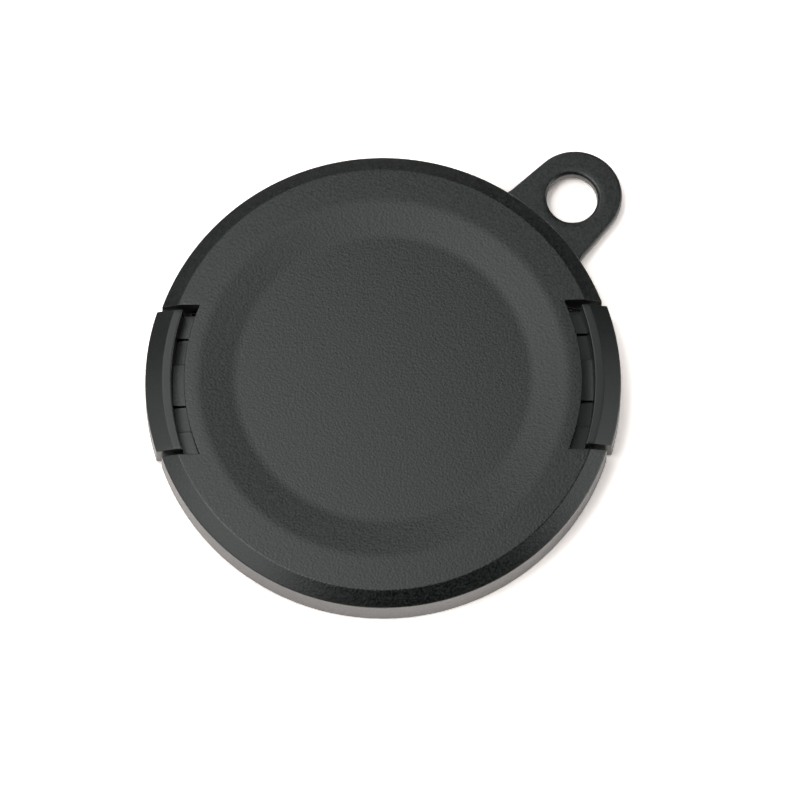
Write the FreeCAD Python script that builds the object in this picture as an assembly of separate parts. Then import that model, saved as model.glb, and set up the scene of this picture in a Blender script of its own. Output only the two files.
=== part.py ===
import FreeCAD, Part
import math
import os

# A clip-on cap for the round front port of a camera housing. It lies face up: the origin is the
# centre of the skirt's foot, +Z points out through the face, and the two finger clips slide along X.
# All sizes are in millimetres.

# Port that the cap closes
thread_r = 33.4  # crests of the clips' teeth in the port's inner thread
thread_pitch = 0.75
thread_depth = 0.42
groove_width = 3.5  # room for the port's front ring, between spigot and skirt

# Disc, rim and skirt
height = 7.85  # skirt foot to face
skirt_draft = 0.35  # how much narrower the skirt is at its top than at its foot
rim_chamfer_width = 2.55
rim_chamfer_height = 1.25
skirt_wall = 1.9
face_wall = 1.8

# Shallow dish in the face
dish_land = 2.25  # level face between the dish and a clip's slot
dish_slope_width = 5.85
dish_depth = 0.5

# Notches for the clips, and the clips' travel
notch_half_length = 12.4  # along Y
travel = 1.7  # inward slide of a clip from rest
end_stop_gap = 0.3  # left between lip and slot edge at full travel
clip_proud = 0.55  # how far a clip at rest stands out past the rim
lip_flat = 1.5  # level top of a clip's lip, inside its chamfer
lip_chamfer_width = 2.8

# Clip moulding
clip_end_gap = 0.7  # between the clip and each end of its notch
clip_floor_depth = 3.5  # face to the top of the sliding plate
plate_thickness = 1.5
finger_foot_z = 0.6
finger_wall = 1.75
ear_end_gap = 0.3  # between the plate's ears, which close the gap at each end, and the notch
ear_height = 0.6
channel_centre_y = 5.63
channel_width = 4.3
channel_depth = 0.9

# Toothed blade that grips the port's inner thread
blade_thickness = 1.5
blade_end_inset = 1.7  # from the clip's end to the blade's
blade_foot_z = 0.45

# Spigot ring, which centres the cap inside the port
spigot_thread_gap = 0.8
spigot_wall = 1.7
spigot_foot_z = 1.0
spigot_lead = 0.5
lintel_gap = 0.3  # between the sliding plate and the ring above it

# Clip bays under the face
guide_gap = 0.2  # between the sliding plate and each side wall
bay_wall = 1.2
bay_end_gap = 0.3
hold_down_gap = 0.15
hold_down_rib = 1.2

# Springs with their posts, bosses and pegs
spring_outer_r = 1.3
spring_wire = 0.36
spring_turns = 5
spring_chords = 10  # straight lengths in each turn
spring_seat_gap = 0.08
spring_room = 0.3  # beside the spring in the plate's window
post_thickness = 1.6
post_stop_gap = 0.1  # between the post and the plate's window at rest
window_end_wall = 1.6
spring_space = 6.0  # post to boss, clip at rest
boss_thickness = 1.3
boss_top_gap = 0.25
boss_ring_gap = 0.7  # between the boss and the spigot ring behind it
peg_width = 1.0  # square peg inside each end of a spring
peg_length = 1.1

# Keeper plates and the stakes that hold them
keeper_gap = 0.15
keeper_thickness = 1.2
keeper_margin = 1.95  # from a stake's axis to the keeper's end
keeper_corner_bevel = 1.2
keeper_blade_gap = 0.4
stake_r = 1.0
stake_hole_gap = 0.05
stake_boss_r = 1.9
stake_head_r = 1.5
stake_head_height = 0.5
stake_offset_y = 1.15  # stake axis outside the bay's side wall
stake_offset_x = 4.4  # stake axis outside the bay's end wall

# Seat ribs between spigot and skirt
seat_rib_count = 24
seat_rib_width = 1.0
cheek_wall = 1.2

# Lanyard tab
tab_angle = 45.0
tab_length = 6.5  # skirt's foot to hole axis
tab_end_offset = 0.8  # hole axis to the centre of the tab's round end
tab_end_r = 7.65
tab_flare = 4.5  # degrees that each side opens towards the skirt
tab_root_r = 3.4
tab_low_z = 1.0
tab_thickness = 2.2
tab_edge_bevel = 0.5
hole_r = 4.15
hole_edge_bevel = 0.6

# Features that join a wall reach this far into it
bite = 0.3

# Sizes worked out from those above
spigot_r = thread_r - spigot_thread_gap
spigot_inner_r = spigot_r - spigot_wall
skirt_inner_r = spigot_r + groove_width
skirt_foot_r = skirt_inner_r + skirt_wall
rim_r = skirt_foot_r - skirt_draft
rim_z = height - rim_chamfer_height
face_r = rim_r - rim_chamfer_width
under_z = height - face_wall
lip_top_r = rim_r - lip_chamfer_width
lip_inner_x = lip_top_r + clip_proud - lip_flat
slot_r = lip_inner_x - travel - end_stop_gap
dish_outer_r = slot_r - dish_land
dish_inner_r = dish_outer_r - dish_slope_width
clip_half_length = notch_half_length - clip_end_gap
ear_half_length = notch_half_length - ear_end_gap
channel_side_y = channel_centre_y + channel_width / 2
plate_top_z = height - clip_floor_depth
plate_low_z = plate_top_z - plate_thickness
lintel_z = plate_top_z + lintel_gap
boss_end_x = math.sqrt(spigot_inner_r ** 2 - channel_side_y ** 2) - boss_ring_gap
boss_x = boss_end_x - boss_thickness
post_outer_x = boss_x - spring_space
post_inner_x = post_outer_x - post_thickness
window_inner_x = post_inner_x - post_stop_gap
plate_inner_x = window_inner_x - window_end_wall
bay_end_x = plate_inner_x - travel - bay_end_gap
guide_y = clip_half_length + guide_gap
hold_down_y = (channel_side_y + clip_half_length) / 2
blade_half_length = clip_half_length - blade_end_inset
tooth_count = int((plate_low_z - blade_foot_z) / thread_pitch)
keeper_top_z = plate_low_z - keeper_gap
keeper_low_z = keeper_top_z - keeper_thickness
keeper_r = thread_r - thread_depth - blade_thickness + clip_proud - travel - keeper_blade_gap
spring_z = (keeper_top_z + under_z) / 2
stake_x = bay_end_x + stake_offset_x
stake_y = guide_y + bay_wall + stake_offset_y
keeper_half_length = stake_y + keeper_margin
seat_rib_clear_angle = math.degrees(math.asin((notch_half_length + 2 * cheek_wall) / spigot_r))
tab_reach = skirt_foot_r + tab_length
tab_end_x = tab_reach + tab_end_offset
sides = (-1, 1)

Z_AXIS = FreeCAD.Vector(0, 0, 1)
ORIGIN = FreeCAD.Vector(0, 0, 0)


def at(x, y, z):
    return FreeCAD.Vector(x, y, z)


def block(x_low, x_high, y_low, y_high, z_low, z_high):
    return Part.makeBox(x_high - x_low, y_high - y_low, z_high - z_low, at(x_low, y_low, z_low))


def disc(radius, z_low, z_high, x=0.0, y=0.0):
    return Part.makeCylinder(radius, z_high - z_low, at(x, y, z_low))


def turned_about_z(shape, degrees):
    copy = shape.copy()
    copy.rotate(ORIGIN, Z_AXIS, degrees)
    return copy


def revolved(corners, axis_x=0.0):
    """Ring or disc from a section of (radius, height) corners about an upright axis."""
    section = [at(axis_x + radius, 0, z) for radius, z in corners]
    face = Part.Face(Part.makePolygon(section + section[:1]))
    return face.revolve(at(axis_x, 0, 0), Z_AXIS, 360)


def fused(pieces):
    return pieces[0].multiFuse(pieces[1:]).removeSplitter()


def skirt_radius(z):
    """Outer radius of the drafted skirt at a height."""
    return skirt_foot_r + (rim_r - skirt_foot_r) * z / rim_z


def shell():
    """Face disc with its dish, chamfered rim and skirt."""
    return revolved([
        (skirt_inner_r, 0),
        (skirt_foot_r, 0),
        (rim_r, rim_z),
        (face_r, height),
        (dish_outer_r, height),
        (dish_inner_r, height - dish_depth),
        (0, height - dish_depth),
        (0, under_z),
        (skirt_inner_r, under_z),
    ])


def spigot():
    """Ring that enters the port, opened under the face where the clips pass."""
    ring = revolved([
        (spigot_inner_r, spigot_foot_z),
        (spigot_r - spigot_lead, spigot_foot_z),
        (spigot_r, spigot_foot_z + spigot_lead),
        (spigot_r, under_z + bite),
        (spigot_inner_r, under_z + bite),
    ])
    passage = block(-skirt_foot_r, skirt_foot_r, -notch_half_length, notch_half_length, 0, lintel_z)
    return ring.cut(passage)


def notches():
    """What is cut out of rim, skirt and spigot for the two clips."""
    reach = 2 * skirt_foot_r
    across = block(-reach, reach, -notch_half_length, notch_half_length, -bite, height + bite)
    return across.cut(disc(slot_r, -bite, height + bite))


def clip_bay():
    """Walls, ribs, spring posts and stakes under the face behind the right-hand clip."""
    roof = under_z + bite
    outer_y = guide_y + bay_wall
    pieces = [block(bay_end_x - bay_wall, bay_end_x, -outer_y, outer_y, keeper_top_z, roof)]
    for side in sides:
        wall_y = sorted((side * guide_y, side * outer_y))
        pieces.append(block(bay_end_x - bite, spigot_r, *wall_y, keeper_top_z, roof))
    rib_z = plate_top_z + hold_down_gap
    for y in (-hold_down_y, 0, hold_down_y):
        rib_y = (y - hold_down_rib / 2, y + hold_down_rib / 2)
        pieces.append(block(bay_end_x - bite, spigot_r, *rib_y, rib_z, roof))
    inside = disc(spigot_inner_r + bite, 0, roof)
    walls = [piece.common(inside) for piece in pieces]
    return walls + spring_posts() + stakes()


def spring_posts():
    posts = []
    half = spring_outer_r
    for side in sides:
        y = side * channel_centre_y
        posts.append(block(post_inner_x, post_outer_x, y - half, y + half, plate_low_z, under_z + bite))
        posts.append(spring_peg(post_outer_x - bite, post_outer_x + peg_length, y))
    return posts


def spring_peg(x_low, x_high, y):
    half = peg_width / 2
    return block(x_low, x_high, y - half, y + half, spring_z - half, spring_z + half)


def stakes():
    """Bosses that carry a keeper, with the melted heads that hold it."""
    made = []
    for side in sides:
        y = side * stake_y
        made.append(disc(stake_boss_r, keeper_top_z, under_z + bite, stake_x, y))
        made.append(disc(stake_r, keeper_low_z, keeper_top_z + bite, stake_x, y))
        head = revolved([
            (0, keeper_low_z),
            (stake_head_r, keeper_low_z),
            (stake_head_r - stake_head_height, keeper_low_z - stake_head_height),
            (0, keeper_low_z - stake_head_height),
        ])
        head.translate(at(stake_x, y, 0))
        made.append(head)
    return made


def seat_ribs():
    """Radial ribs that the port's front edge seats on, and the walls that end them at each notch."""
    ribs = []
    inner, outer = spigot_r - bite, skirt_inner_r + bite
    roof = under_z + bite
    half = seat_rib_width / 2
    for i in range(seat_rib_count):
        angle = (i + 0.5) * 360 / seat_rib_count
        from_clip = min(angle % 180, 180 - angle % 180)
        if from_clip > seat_rib_clear_angle:
            ribs.append(turned_about_z(block(inner, outer, -half, half, plate_low_z, roof), angle))
    ring = disc(outer, plate_low_z, roof).cut(disc(inner, plate_low_z, roof))
    for side in sides:
        cheek_y = sorted((side * notch_half_length, side * (notch_half_length + cheek_wall)))
        ribs.extend(ring.common(block(-outer, outer, *cheek_y, plate_low_z, roof)).Solids)
    return ribs


def lanyard_tab():
    """Flat tab that grows out of the skirt with rounded roots, lying along X before it is turned."""
    flare = math.radians(tab_flare)
    across = at(math.sin(flare), math.cos(flare), 0)
    inwards = at(-math.cos(flare), math.sin(flare), 0)
    root_r = rim_r - bite
    side_end = at(tab_end_x, 0, 0) + across * tab_end_r
    from_axis = side_end + across * tab_root_r
    along = from_axis.dot(inwards)
    gap = along ** 2 - from_axis.dot(from_axis) + (root_r + tab_root_r) ** 2
    run = -along - math.sqrt(gap)
    root_centre = from_axis + inwards * run
    root_start = side_end + inwards * run
    root_end = root_centre * (root_r / root_centre.Length)
    root_way = (root_start - root_centre).normalize() + (root_end - root_centre).normalize()
    root_middle = root_centre + root_way.normalize() * tab_root_r
    inner_end = root_end * ((root_r - bite) / root_r)

    def mirrored(p):
        return at(p.x, -p.y, 0)

    outline = Part.Wire([
        Part.Arc(mirrored(side_end), at(tab_end_x + tab_end_r, 0, 0), side_end).toShape(),
        Part.makeLine(side_end, root_start),
        Part.Arc(root_start, root_middle, root_end).toShape(),
        Part.makeLine(root_end, inner_end),
        Part.Arc(inner_end, at(root_r - bite, 0, 0), mirrored(inner_end)).toShape(),
        Part.makeLine(mirrored(inner_end), mirrored(root_end)),
        Part.Arc(mirrored(root_end), mirrored(root_middle), mirrored(root_start)).toShape(),
        Part.makeLine(mirrored(root_start), mirrored(side_end)),
    ])
    tab = Part.Face(outline).extrude(Z_AXIS * tab_thickness)
    tab = tab.makeChamfer(tab_edge_bevel, level_edges(tab, root_r))
    tab = tab.cut(lanyard_hole())
    tab.translate(at(0, 0, tab_low_z))
    return turned_about_z(tab, tab_angle)


def level_edges(tab, root_r):
    """Top and bottom edges of the tab's outline outside the skirt."""
    chosen = []
    for edge in tab.Edges:
        box = edge.BoundBox
        middle = edge.valueAt((edge.FirstParameter + edge.LastParameter) / 2)
        if box.ZLength < bite and math.hypot(middle.x, middle.y) > root_r:
            chosen.append(edge)
    return chosen


def lanyard_hole():
    """What is cut out of the tab: a round hole with bevelled edges."""
    wide = hole_r + hole_edge_bevel
    hole = revolved([
        (0, 0),
        (wide, 0),
        (hole_r, hole_edge_bevel),
        (hole_r, tab_thickness - hole_edge_bevel),
        (wide, tab_thickness),
        (0, tab_thickness),
    ])
    hole.translate(at(tab_reach, 0, 0))
    return hole


def cap_body():
    bay = clip_bay()
    far_bay = [turned_about_z(piece, 180) for piece in bay]
    rim = fused([shell(), spigot()] + seat_ribs()).cut(notches())
    return fused([rim, lanyard_tab()] + bay + far_bay)


def finger_lip():
    """The stretch of rim that the finger presses, standing proud by a little."""
    outside = revolved([
        (0, finger_foot_z),
        (skirt_radius(finger_foot_z), finger_foot_z),
        (rim_r, rim_z),
        (lip_top_r, height),
        (0, height),
    ], clip_proud)
    length = block(0, 2 * rim_r, -clip_half_length, clip_half_length, 0, height)
    behind_lip = disc(rim_r, 0, height, lip_inner_x - rim_r)
    port_room = disc(skirt_radius(finger_foot_z) - finger_wall, 0, plate_low_z, clip_proud)
    return outside.common(length).cut(behind_lip).cut(port_room)


def sliding_plate():
    """Plate that runs in the bay, with its channels, spring windows, spring bosses and low ears."""
    half = clip_half_length
    plate = block(plate_inner_x, rim_r, -half, half, plate_low_z, plate_top_z)
    plate = plate.common(disc(face_r, 0, height, clip_proud))
    added = []
    for side in sides:
        y = side * channel_centre_y
        reach = channel_width / 2
        window = spring_outer_r + spring_room
        floor_z = plate_top_z - channel_depth
        plate = plate.cut(block(boss_x, lip_inner_x, y - reach, y + reach, floor_z, height))
        plate = plate.cut(block(window_inner_x, boss_x, y - window, y + window, 0, height))
        boss_top = under_z - boss_top_gap
        added.append(block(boss_x, boss_end_x, y - reach, y + reach, plate_low_z, boss_top))
        added.append(spring_peg(boss_x - peg_length, boss_x + bite, y))
        ear_y = sorted((side * (half - bite), side * ear_half_length))
        ear_top = plate_low_z + ear_height
        added.append(block(spigot_inner_r, lip_inner_x, *ear_y, plate_low_z, ear_top))
    return [plate] + added


def toothed_blade():
    """Blade that hangs from the plate, with thread-shaped teeth on its outer side."""
    root = thread_r - thread_depth
    inner = root - blade_thickness
    section = [(inner, plate_low_z + bite), (inner, blade_foot_z), (root, blade_foot_z)]
    for i in range(tooth_count):
        low = blade_foot_z + i * thread_pitch
        section.append((thread_r, low + thread_pitch / 2))
        section.append((root, low + thread_pitch))
    section.append((root, plate_low_z + bite))
    length = block(0, 2 * rim_r, -blade_half_length, blade_half_length, 0, height)
    return revolved(section, clip_proud).common(length)


def right_clip():
    return fused([finger_lip(), toothed_blade()] + sliding_plate())


def right_keeper():
    """Plate under the right-hand clip bay, with a hole for each stake."""
    half = keeper_half_length
    inner_x = bay_end_x - bay_wall
    plate = block(inner_x, keeper_r, -half, half, keeper_low_z, keeper_top_z)
    upright = [e for e in plate.Edges if e.BoundBox.ZLength > bite and e.BoundBox.XMax < stake_x]
    plate = plate.makeChamfer(keeper_corner_bevel, upright)
    plate = plate.common(disc(keeper_r, keeper_low_z, keeper_top_z))
    for side in sides:
        hole_y = side * stake_y
        plate = plate.cut(disc(stake_r + stake_hole_gap, keeper_low_z, keeper_top_z, stake_x, hole_y))
    return plate


def coil_spring(y):
    """Compression spring along X behind the right-hand clip, swept along straight chords of a helix."""
    half = spring_wire / 2
    coil_r = spring_outer_r - half
    first_x = post_outer_x + spring_seat_gap + half
    length = spring_space - 2 * (spring_seat_gap + half)
    chords = spring_turns * spring_chords
    points = []
    for i in range(chords + 1):
        turn = 2 * math.pi * i / spring_chords
        across, up = coil_r * math.cos(turn), coil_r * math.sin(turn)
        points.append(at(first_x + length * i / chords, y + across, spring_z + up))
    square = block(-half, half, -half, half, 0, spring_wire).Faces
    section = min(square, key=lambda face: face.CenterOfMass.z).OuterWire
    section.translate(points[0])
    sharp_corners = 1
    return Part.makePolygon(points).makePipeShell([section], True, False, sharp_corners)


parts = {
    "cap_body": cap_body(),
    "right_clip": right_clip(),
    "right_keeper": right_keeper(),
    "right_front_spring": coil_spring(-channel_centre_y),
    "right_rear_spring": coil_spring(channel_centre_y),
}
parts["left_clip"] = turned_about_z(parts["right_clip"], 180)
parts["left_keeper"] = turned_about_z(parts["right_keeper"], 180)
parts["left_rear_spring"] = turned_about_z(parts["right_front_spring"], 180)
parts["left_front_spring"] = turned_about_z(parts["right_rear_spring"], 180)

os.makedirs("parts", exist_ok=True)
for name, shape in parts.items():
    shape.exportStep(f"parts/{name}.step")
    print(name, shape.ShapeType, len(shape.Solids), shape.isValid(), round(shape.Volume, 2))
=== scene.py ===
# %% [markdown]
# # A clip-on cap for a camera housing's port
# The real cap is a black moulded disc about 76 mm across. Two finger clips sit in notches of its rim, slide
# inwards on small springs and grip the port's thread, and a tab with a round hole takes a lanyard.
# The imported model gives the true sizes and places, so it is loaded first and its box is kept: everything that
# is modelled below has to stay in that box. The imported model's edges are crisp, so each moulding is modelled
# again with the soft edges that a mould gives.

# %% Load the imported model
import math
from collections import Counter

import bpy
from mathutils import Matrix, Vector


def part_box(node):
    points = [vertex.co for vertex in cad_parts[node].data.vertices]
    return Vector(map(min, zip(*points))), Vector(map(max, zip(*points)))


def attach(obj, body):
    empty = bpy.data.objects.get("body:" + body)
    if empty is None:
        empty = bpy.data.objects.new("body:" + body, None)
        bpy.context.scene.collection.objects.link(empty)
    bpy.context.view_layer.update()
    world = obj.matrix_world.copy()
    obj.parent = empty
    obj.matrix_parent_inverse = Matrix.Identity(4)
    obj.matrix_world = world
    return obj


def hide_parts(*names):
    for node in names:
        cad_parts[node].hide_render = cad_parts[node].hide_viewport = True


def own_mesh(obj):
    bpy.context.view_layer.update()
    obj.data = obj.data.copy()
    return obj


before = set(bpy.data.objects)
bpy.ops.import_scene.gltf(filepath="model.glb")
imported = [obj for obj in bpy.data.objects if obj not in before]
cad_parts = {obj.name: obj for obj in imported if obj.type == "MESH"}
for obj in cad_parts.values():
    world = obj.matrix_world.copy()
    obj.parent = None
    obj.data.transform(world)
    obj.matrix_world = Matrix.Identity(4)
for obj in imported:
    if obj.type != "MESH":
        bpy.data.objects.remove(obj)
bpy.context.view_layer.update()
mm = 0.001

# %% [markdown]
# Every piece starts as a primitive and is shaped in edit mode. An operator acts on all that is selected, so
# nothing may stay selected from an earlier step. On the screen the mouse picks vertices, edges and faces. A
# script picks them by their place, which stays true when a size changes.

# %% Helpers for selecting
NEAR = 0.004  # mm, when two places count as the same


def leave_edit_mode():
    if bpy.context.object and bpy.context.object.mode == "EDIT":
        bpy.ops.object.mode_set(mode="OBJECT")


def nothing_selected():
    leave_edit_mode()
    bpy.ops.object.select_all(action="DESELECT")


def only(piece):
    """Makes piece the only selected object."""
    nothing_selected()
    piece.select_set(True)
    bpy.context.view_layer.objects.active = piece


def pick(piece, kind, wanted, open_only=False):
    """Selects what passes the test and opens edit mode: faces by their middle, edges by both ends, in mm."""
    only(piece)
    mesh = piece.data
    for group in (mesh.vertices, mesh.edges, mesh.polygons):
        group.foreach_set("select", [False] * len(group))
    if kind == "FACE":
        mesh.polygons.foreach_set("select", [bool(wanted(face.center / mm)) for face in mesh.polygons])
    else:
        good = [bool(wanted(vertex.co / mm)) for vertex in mesh.vertices]
        if kind == "VERT":
            mesh.vertices.foreach_set("select", good)
        else:
            used = Counter(key for face in mesh.polygons for key in face.edge_keys)
            for edge in mesh.edges:
                edge.select = all(good[i] for i in edge.vertices) and (used[edge.key] < 2 or not open_only)
    bpy.context.tool_settings.mesh_select_mode = (kind == "VERT", kind == "EDGE", kind == "FACE")
    bpy.ops.object.mode_set(mode="EDIT")


def pick_open_edges(piece, wanted):
    """Selects those open edges of the mesh whose points pass the test."""
    pick(piece, "EDGE", wanted, open_only=True)


print("Helpers for selecting ready")

# %% [markdown]
# Three steps come up again and again: drawing a line, cutting straight across, and merging vertices that lie
# on each other. Each becomes a helper with sizes in millimetres. A line could be a list of vertices handed to
# a new mesh, but extruding one vertex from point to point is how it is drawn by hand.

# %% Helpers for drawing and cutting
MERGE_WITHIN = 0.001  # mm, closer vertices become one
CUT_WITHIN = 1e-7  # m, closer vertices count as lying on the cut


def start_point(name, x, y, z):
    """A new object that is one selected vertex, open in edit mode."""
    nothing_selected()
    bpy.ops.mesh.primitive_plane_add(size=mm)
    piece = bpy.context.object
    piece.name = name
    bpy.ops.object.mode_set(mode="EDIT")
    bpy.ops.mesh.select_mode(type="VERT")
    bpy.ops.mesh.select_all(action="SELECT")
    bpy.ops.mesh.merge(type="CENTER")
    bpy.ops.transform.translate(value=(x * mm, y * mm, z * mm))
    return piece


def draw_line(name, points):
    """Extrudes one vertex from point to point, given in mm."""
    piece = start_point(name, *points[0])
    for here, there in zip(points, points[1:]):
        step = [(b - a) * mm for a, b in zip(here, there)]
        bpy.ops.mesh.extrude_region_move(TRANSFORM_OT_translate={"value": step})
    return piece


def cut_across(axis, place, way=1, clear_outer=False):
    """Bisects what is selected by a plane across an axis, at a place in mm."""
    spot, normal = [0, 0, 0], [0, 0, 0]
    spot["xyz".index(axis)] = place * mm
    normal["xyz".index(axis)] = way
    bpy.ops.mesh.bisect(plane_co=spot, plane_no=normal, clear_outer=clear_outer, threshold=CUT_WITHIN)


def merge_and_face_outwards(piece):
    only(piece)
    bpy.ops.object.mode_set(mode="EDIT")
    bpy.ops.mesh.select_mode(type="VERT")
    bpy.ops.mesh.select_all(action="SELECT")
    bpy.ops.mesh.remove_doubles(threshold=MERGE_WITHIN * mm)
    bpy.ops.mesh.normals_make_consistent(inside=False)
    leave_edit_mode()


print("Helpers for drawing and cutting ready")

# %% [markdown]
# A moulding's corners are never knife edges. A section is written as a few corners, each with the radius of
# its rounding, and one function turns the corners into short arcs. A bevel could round them afterwards, but
# here each corner has a radius of its own.

# %% Sections with rounded corners
ARC_STEPS = 4  # straight lengths in a small rounding
ROUND_STEPS = 240  # straight lengths in a full turn of the cap


def rounded(corners, steps=ARC_STEPS):
    """Points of an open section. Each corner is (radius from the axis, height, rounding), all in mm."""
    points = []
    last = len(corners) - 1
    for i, (across, up, rounding) in enumerate(corners):
        corner = Vector((across, up))
        if i in (0, last) or rounding == 0:
            points.append(corner)
            continue
        back = (Vector(corners[i - 1][:2]) - corner).normalized()
        on = (Vector(corners[i + 1][:2]) - corner).normalized()
        half = back.angle(on) / 2
        centre = corner + (back + on).normalized() * rounding / math.sin(half)
        start = corner + back * rounding / math.tan(half) - centre
        end = corner + on * rounding / math.tan(half) - centre
        turn = start.angle_signed(end)
        for k in range(steps + 1):
            points.append(centre + Matrix.Rotation(-turn * k / steps, 2) @ start)
    return [(point.x, point.y) for point in points]


def spun(name, section, axis_x=0.0, start=0.0, turn=360.0, steps=ROUND_STEPS):
    """Spins a section about an upright axis at axis_x, from one angle through another, in degrees."""
    c, s = math.cos(math.radians(start)), math.sin(math.radians(start))
    piece = draw_line(name, [(axis_x + r * c, r * s, z) for r, z in section])
    bpy.ops.mesh.select_all(action="SELECT")
    bpy.ops.mesh.spin(
        steps=steps, angle=-math.radians(turn), center=(axis_x * mm, 0, 0), axis=(0, 0, 1),
    )
    leave_edit_mode()
    return piece


print("A square corner of radius 1:", rounded([(0, 0, 0), (2, 0, 1), (2, 2, 0)], 2))

# %% [markdown]
# The cap's disc, rim, skirt and inner ring are round about one axis, as on a lathe, so one section is drawn
# and spun. A cylinder with insets could make them too, but the section keeps every radius and height in one
# place. The dish is shallow and its two edges are wide soft blends, while the rim's chamfer has tight edges
# that catch a thin line of light.

# %% Spin the shell
cap_low, cap_high = (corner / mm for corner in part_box("cap_body"))
clip_low, clip_high = (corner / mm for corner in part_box("right_clip"))
height = cap_high.z
foot_r = -cap_low.y
skirt_draft = 0.35  # how much narrower the skirt is at the rim than at its foot
skirt_wall = 1.9
face_wall = 1.8
chamfer_width = 2.55
chamfer_height = 1.25
slot_inset = 3.2  # from the chamfer to the slot's inner wall
land_width = 2.25  # from that wall to the dish
band_width = 5.85  # the dish's sloping band
dish_depth = 0.5
rim_r = foot_r - skirt_draft
rim_z = height - chamfer_height
face_r = rim_r - chamfer_width
skirt_inner_r = foot_r - skirt_wall
under_z = height - face_wall
slot_r = face_r - slot_inset
dish_outer_r = slot_r - land_width
dish_inner_r = dish_outer_r - band_width
dish_z = height - dish_depth
ring_r = 32.6
ring_inner_r = 30.9
ring_foot_z = 1.0
ring_lead = 0.5
dish_blend = 16.0
face_round = 0.75
rim_round = 0.32
foot_round = 0.3
root_round = 0.4
ring_root_round = 0.3
ring_edge = 0.2
lead_edge = 0.15

shell_section = rounded([
    (0, dish_z, 0),
    (dish_inner_r, dish_z, dish_blend),
    (dish_outer_r, height, dish_blend),
    (slot_r, height, 0),
    (face_r, height, face_round),
    (rim_r, rim_z, rim_round),
    (foot_r, 0, foot_round),
    (skirt_inner_r, 0, foot_round),
    (skirt_inner_r, under_z, root_round),
    (ring_r, under_z, ring_root_round),
    (ring_r, ring_foot_z + ring_lead, ring_edge),
    (ring_r - ring_lead, ring_foot_z, lead_edge),
    (slot_r, ring_foot_z, 0),
    (ring_inner_r, ring_foot_z, ring_edge),
    (ring_inner_r, under_z, root_round),
    (0, under_z, 0),
])
shell = spun("cap_shell", shell_section)
merge_and_face_outwards(shell)
print("Shell faces:", len(shell.data.polygons))

# %% [markdown]
# Each clip sits in a notch with straight ends. The shell is bisected along the notch's ends, the faces
# between them are deleted, and the open edges are closed again: the slot's inner wall is extruded down, and
# each end is filled. That keeps clean edges, which a boolean would leave ragged, so they can be bevelled.

# %% Cut the two notches
notch_gap = 0.3  # between the clip's ears and the notch's ends
notch_y = clip_high.y + notch_gap
lintel_z = 4.65  # the foot of the slot's inner wall
notch_edge = 0.14
ring_margin = 0.5  # takes in the rounding at the ring's root
wall_margin = 0.1  # a face's middle lies a little inside its arc


def radius(point):
    return math.hypot(point.x, point.y)


def beside_notch(point):
    return abs(point.y) < notch_y + NEAR


def on_rim_or_ring(point):
    return radius(point) > slot_r or radius(point) > ring_inner_r - ring_margin and point.z < under_z


def on_slot_edge(point):
    return point.z > height - NEAR and abs(radius(point) - slot_r) < NEAR


for side in (-1, 1):
    pick(shell, "FACE", on_rim_or_ring)
    cut_across("y", side * notch_y, side)
pick(shell, "FACE", lambda p: beside_notch(p) and abs(radius(p) - ring_inner_r) < wall_margin)
cut_across("z", lintel_z)
pick(shell, "FACE", lambda p: beside_notch(p) and radius(p) > slot_r - NEAR)
bpy.ops.mesh.delete(type="FACE")
pick(shell, "FACE", lambda p: (
    beside_notch(p) and radius(p) > ring_inner_r - NEAR and p.z < lintel_z + NEAR
))
bpy.ops.mesh.delete(type="FACE")
pick_open_edges(shell, on_slot_edge)
bpy.ops.mesh.extrude_edges_move(TRANSFORM_OT_translate={"value": (0, 0, (lintel_z - height) * mm)})
for side in (-1, 1):
    pick_open_edges(shell, lambda p: abs(p.z - lintel_z) < NEAR and side * p.x > 0)
    bpy.ops.mesh.bridge_edge_loops()
for side_x in (-1, 1):
    for side_y in (-1, 1):
        pick_open_edges(shell, lambda p: abs(p.y - side_y * notch_y) < NEAR and side_x * p.x > 0)
        bpy.ops.mesh.edge_face_add()
merge_and_face_outwards(shell)
pick(shell, "EDGE", lambda p: (
    radius(p) > slot_r - NEAR and abs(abs(p.y) - notch_y) < NEAR
    or on_slot_edge(p) and beside_notch(p)
))
bpy.ops.mesh.bevel(offset=notch_edge * mm, segments=2, clamp_overlap=False)
leave_edit_mode()
print("Shell faces with its notches:", len(shell.data.polygons))

# %% [markdown]
# The lanyard tab grows out of the skirt with rounded roots. Half of its outline is worked out from arcs and a
# straight side that touch each other, and the other half is its mirror image. The outline could be traced by
# hand, but points that are worked out follow when a radius changes.

# %% The tab's outline
tab_end_r = 7.65
tab_flare = math.radians(4.5)
tab_root_r = 3.4
root_depth = 0.3  # how far inside the rim the roots begin
root_overlap = 1.1  # how much further in the tab goes
hole_past_foot = 6.5
end_past_hole = 0.8
hole_at = Vector((foot_r + hole_past_foot, 0))
tab_end_at = hole_at + Vector((end_past_hole, 0))
end_points = 24
side_points = 6
root_points = 8
inner_points = 14


def arc(centre, reach, first, last, count):
    """Points on an arc, without its last one."""
    turns = [first + (last - first) * i / count for i in range(count)]
    return [centre + reach * Vector((math.cos(a), math.sin(a))) for a in turns]


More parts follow.
